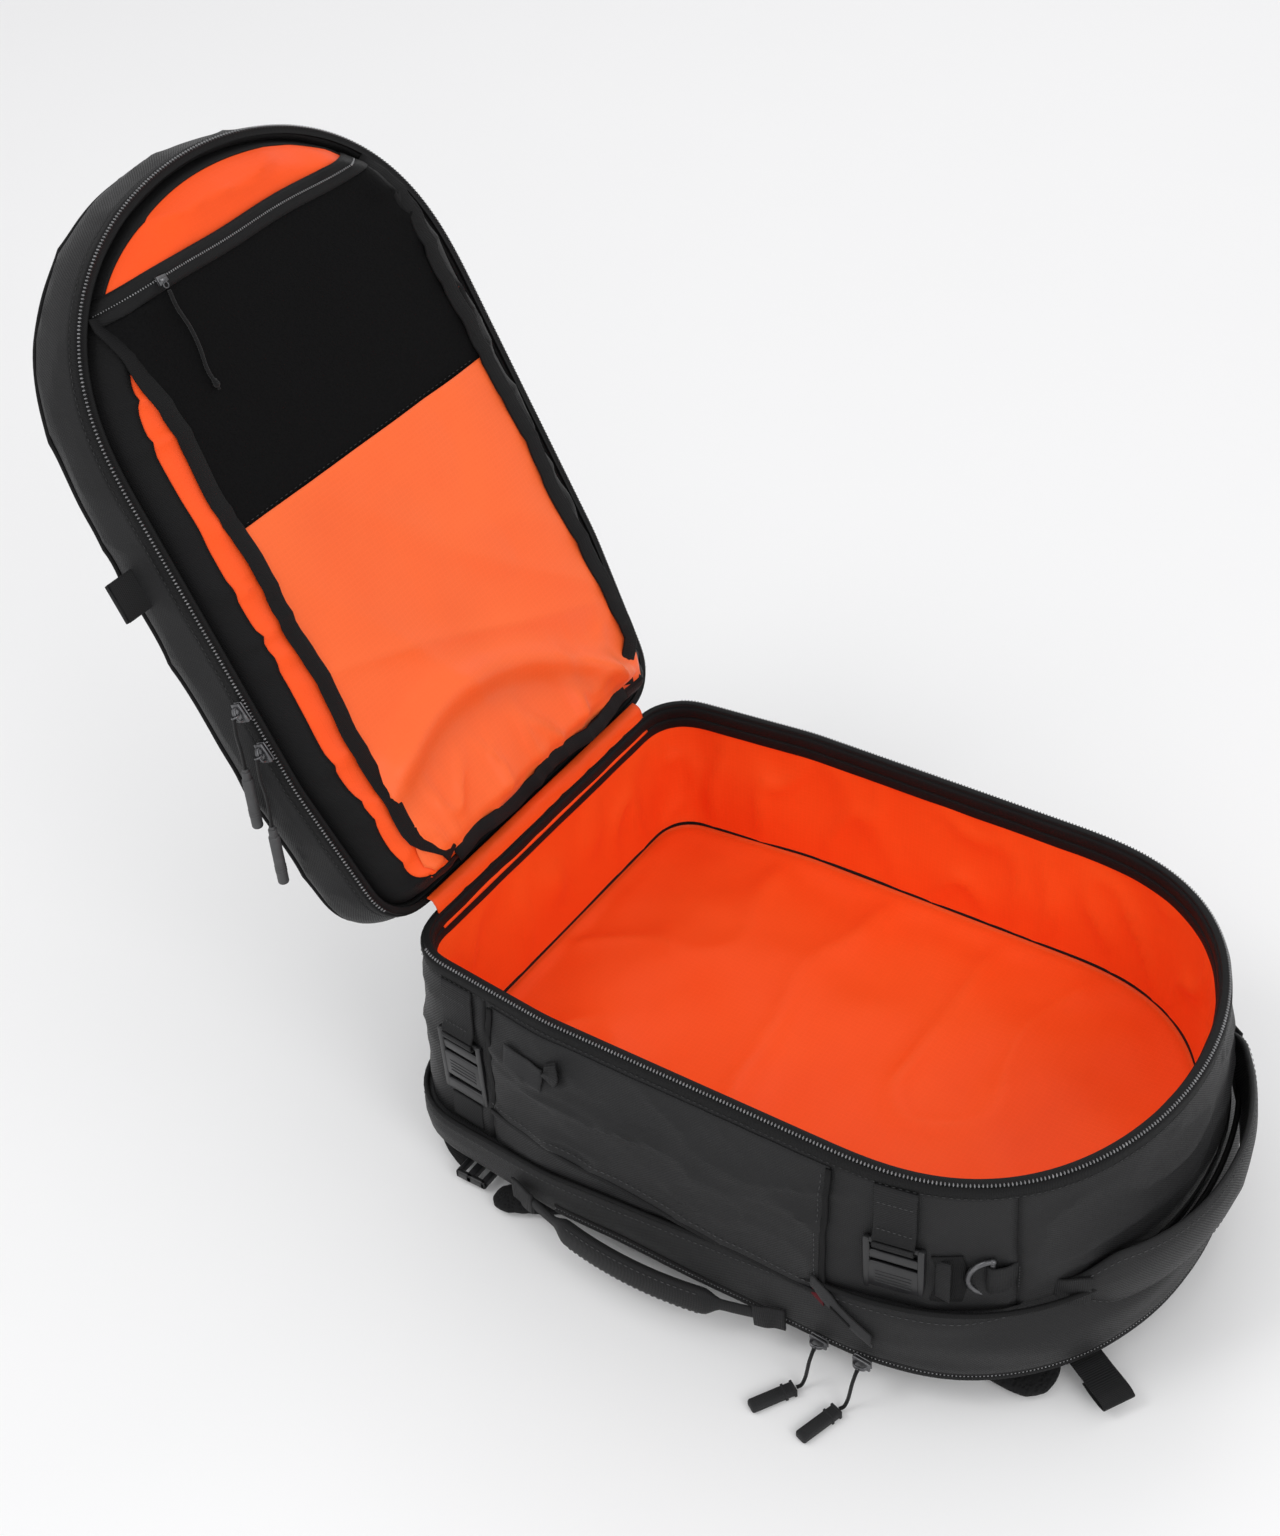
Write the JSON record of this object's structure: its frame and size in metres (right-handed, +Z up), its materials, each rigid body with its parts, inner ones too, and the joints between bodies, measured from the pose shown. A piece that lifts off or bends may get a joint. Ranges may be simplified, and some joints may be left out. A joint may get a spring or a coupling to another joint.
{
  "type": "travel backpack",
  "caption": "Clamshell travel backpack lying on its harness side with the zipped lid standing open, orange lined, with laptop layer, handles, straps and zip pulls.",
  "frame": {"origin": "centre of the main opening's outline, at the face of the back pads that rests on the floor", "axes": "+X from the lid's hinge towards the top end, +Y across, towards the side without the grab handle, +Z up, from the harness side to the opening"},
  "size_m": [0.8108, 0.4461, 0.6601],
  "materials": {
    "ballistic_nylon": "matte coated weave",
    "padded_mesh": "matte spacer mesh",
    "webbing": "ribbed webbing",
    "binding_tape": "grosgrain",
    "zip_tape": "coated coil zip",
    "orange_lining": "ripstop with a soft sheen",
    "black_mesh": "fine mesh",
    "grey_fabric": "matte",
    "black_acetal": "moulded, satin",
    "dark_metal": "satin black",
    "pull_rubber": "matte",
    "pull_cord": "braided",
    "frame_plastic": "matte"
  },
  "bodies": {
    "pack": {"back_panel": "ballistic_nylon", "back_pads": "padded_mesh", "frame_sheet": "frame_plastic", "laptop_gusset": "ballistic_nylon", "laptop_zip": "zip_tape", "laptop_divider": "ballistic_nylon", "bottom_panel": "ballistic_nylon", "top_panel": "ballistic_nylon", "near_side_panel": "ballistic_nylon", "far_side_panel": "ballistic_nylon", "rim_binding": "binding_tape", "body_zip": "zip_tape", "body_lining": "orange_lining", "side_pocket": "ballistic_nylon", "zip_garage": "grey_fabric", "woven_tag": "grey_fabric", "compression_webbing": "webbing", "ring_tab": "webbing", "handle_anchors": "webbing", "haul_loop": "webbing", "shoulder_strap_near": "padded_mesh", "shoulder_strap_far": "padded_mesh", "harness_webbing": "webbing", "ladder_locks": "black_acetal", "end_zip": "zip_tape"},
    "lid": {"lid_gusset": "ballistic_nylon", "lid_front": "ballistic_nylon", "lid_binding": "binding_tape", "lid_zip": "zip_tape", "lid_lining": "orange_lining", "mesh_pocket": "black_mesh", "mesh_zip": "zip_tape", "lower_pocket": "orange_lining", "lid_tapes": "binding_tape", "lid_tabs": "webbing"},
    "buckle_near_bottom": {"buckle_near_bottom": "black_acetal"},
    "buckle_near_top": {"buckle_near_top": "black_acetal"},
    "buckle_far_bottom": {"buckle_far_bottom": "black_acetal"},
    "buckle_far_top": {"buckle_far_top": "black_acetal"},
    "ring": {"ring": "dark_metal"},
    "top_handle": {"top_handle": "ballistic_nylon"},
    "side_handle": {"side_handle": "webbing"},
    "laptop_slider_a": {"laptop_slider_a": "dark_metal"},
    "laptop_pull_a": {"laptop_cord_a": "pull_cord", "laptop_tab_a": "pull_rubber"},
    "laptop_slider_b": {"laptop_slider_b": "dark_metal"},
    "laptop_pull_b": {"laptop_cord_b": "pull_cord", "laptop_tab_b": "pull_rubber"},
    "main_slider_a": {"main_slider_a": "dark_metal"},
    "main_pull_a": {"main_cord_a": "pull_cord", "main_tab_a": "pull_rubber"},
    "main_slider_b": {"main_slider_b": "dark_metal"},
    "main_pull_b": {"main_cord_b": "pull_cord", "main_tab_b": "pull_rubber"},
    "end_slider": {"end_slider": "dark_metal"},
    "end_pull": {"end_pull": "pull_rubber"},
    "mesh_slider": {"mesh_slider": "dark_metal"},
    "mesh_cord": {"mesh_cord": "pull_cord"},
    "sternum_strap_near": {"sternum_strap_near": "webbing"},
    "sternum_strap_far": {"sternum_strap_far": "webbing"}
  },
  "joints": [
    {"name": "lid_hinge", "type": "hinge", "parent": "pack", "child": "lid", "pos_m": [-0.258, 0, 0.2], "axis": [0, -1, 0], "range_deg": [-116, 34]},
    {"name": "buckle_near_bottom_swing", "type": "hinge", "parent": "pack", "child": "buckle_near_bottom", "pos_m": [-0.2055, -0.17118, 0.14], "axis": [-0.995, 0.1001, 0], "range_deg": [0, 70]},
    {"name": "buckle_near_top_swing", "type": "hinge", "parent": "pack", "child": "buckle_near_top", "pos_m": [0.13493, -0.17532, 0.14], "axis": [-0.9825, -0.1865, 0], "range_deg": [0, 70]},
    {"name": "buckle_far_bottom_swing", "type": "hinge", "parent": "pack", "child": "buckle_far_bottom", "pos_m": [-0.2055, 0.17118, 0.14], "axis": [0.995, 0.1001, 0], "range_deg": [0, 70]},
    {"name": "buckle_far_top_swing", "type": "hinge", "parent": "pack", "child": "buckle_far_top", "pos_m": [0.13493, 0.17532, 0.14], "axis": [0.9825, -0.1865, 0], "range_deg": [0, 70]},
    {"name": "ring_swing", "type": "hinge", "parent": "pack", "child": "ring", "pos_m": [0.19065, -0.15197, 0.12], "axis": [0, 0, 1], "range_deg": [0, 120]},
    {"name": "top_handle_swing", "type": "hinge", "parent": "pack", "child": "top_handle", "pos_m": [0.22356, 0, 0.104], "axis": [0, -1, 0], "range_deg": [-7, 25]},
    {"name": "side_handle_swing", "type": "hinge", "parent": "pack", "child": "side_handle", "pos_m": [-0.047, -0.19499, 0.036], "axis": [-1, 0, 0], "range_deg": [-30, 30]},
    {"name": "laptop_slider_a_slide", "type": "slide", "parent": "pack", "child": "laptop_slider_a", "axis": [1, 0, 0], "range_m": [-0.018, 0.008]},
    {"name": "laptop_pull_a_swing", "type": "hinge", "parent": "laptop_slider_a", "child": "laptop_pull_a", "pos_m": [0.09, -0.1994, 0.034], "axis": [-1, 0, 0], "range_deg": [0, 100]},
    {"name": "laptop_slider_b_slide", "type": "slide", "parent": "pack", "child": "laptop_slider_b", "axis": [1, 0, 0], "range_m": [-0.01, 0.01]},
    {"name": "laptop_pull_b_swing", "type": "hinge", "parent": "laptop_slider_b", "child": "laptop_pull_b", "pos_m": [0.122, -0.1994, 0.034], "axis": [-1, 0, 0], "range_deg": [0, 100]},
    {"name": "main_slider_a_slide", "type": "slide", "parent": "lid", "child": "main_slider_a", "axis": [-0.4384, 0, 0.8988], "range_m": [-0.008, 0.13]},
    {"name": "main_pull_a_swing", "type": "hinge", "parent": "main_slider_a", "child": "main_pull_a", "pos_m": [-0.34528, -0.1854, 0.37439], "axis": [-1, 0, 0], "range_deg": [0, 90]},
    {"name": "main_slider_b_slide", "type": "slide", "parent": "lid", "child": "main_slider_b", "axis": [-0.4384, 0, 0.8988], "range_m": [-0.028, 0.008]},
    {"name": "main_pull_b_swing", "type": "hinge", "parent": "main_slider_b", "child": "main_pull_b", "pos_m": [-0.33169, -0.1854, 0.34653], "axis": [-1, 0, 0], "range_deg": [0, 90]},
    {"name": "end_slider_slide", "type": "slide", "parent": "pack", "child": "end_slider", "axis": [0, 1, 0], "range_m": [0, 0.226]},
    {"name": "end_pull_swing", "type": "hinge", "parent": "end_slider", "child": "end_pull", "pos_m": [-0.2668, -0.116, 0.166], "axis": [0, 1, 0], "range_deg": [0, 45]},
    {"name": "mesh_slider_slide", "type": "slide", "parent": "lid", "child": "mesh_slider", "axis": [0, 1, 0], "range_m": [-0.018, 0.19]},
    {"name": "mesh_cord_swing", "type": "hinge", "parent": "mesh_slider", "child": "mesh_cord", "pos_m": [-0.43022, -0.088, 0.61378], "axis": [-0.8988, 0, -0.4384], "range_deg": [-70, 18]},
    {"name": "sternum_near_slide", "type": "slide", "parent": "pack", "child": "sternum_strap_near", "axis": [1, 0, 0], "range_m": [-0.028, 0.028]},
    {"name": "sternum_far_slide", "type": "slide", "parent": "pack", "child": "sternum_strap_far", "axis": [1, 0, 0], "range_m": [-0.028, 0.028]}
  ],
  "couplings": [
    {"joint": "sternum_far_slide", "follows": "sternum_near_slide", "ratio": 1}
  ]
}
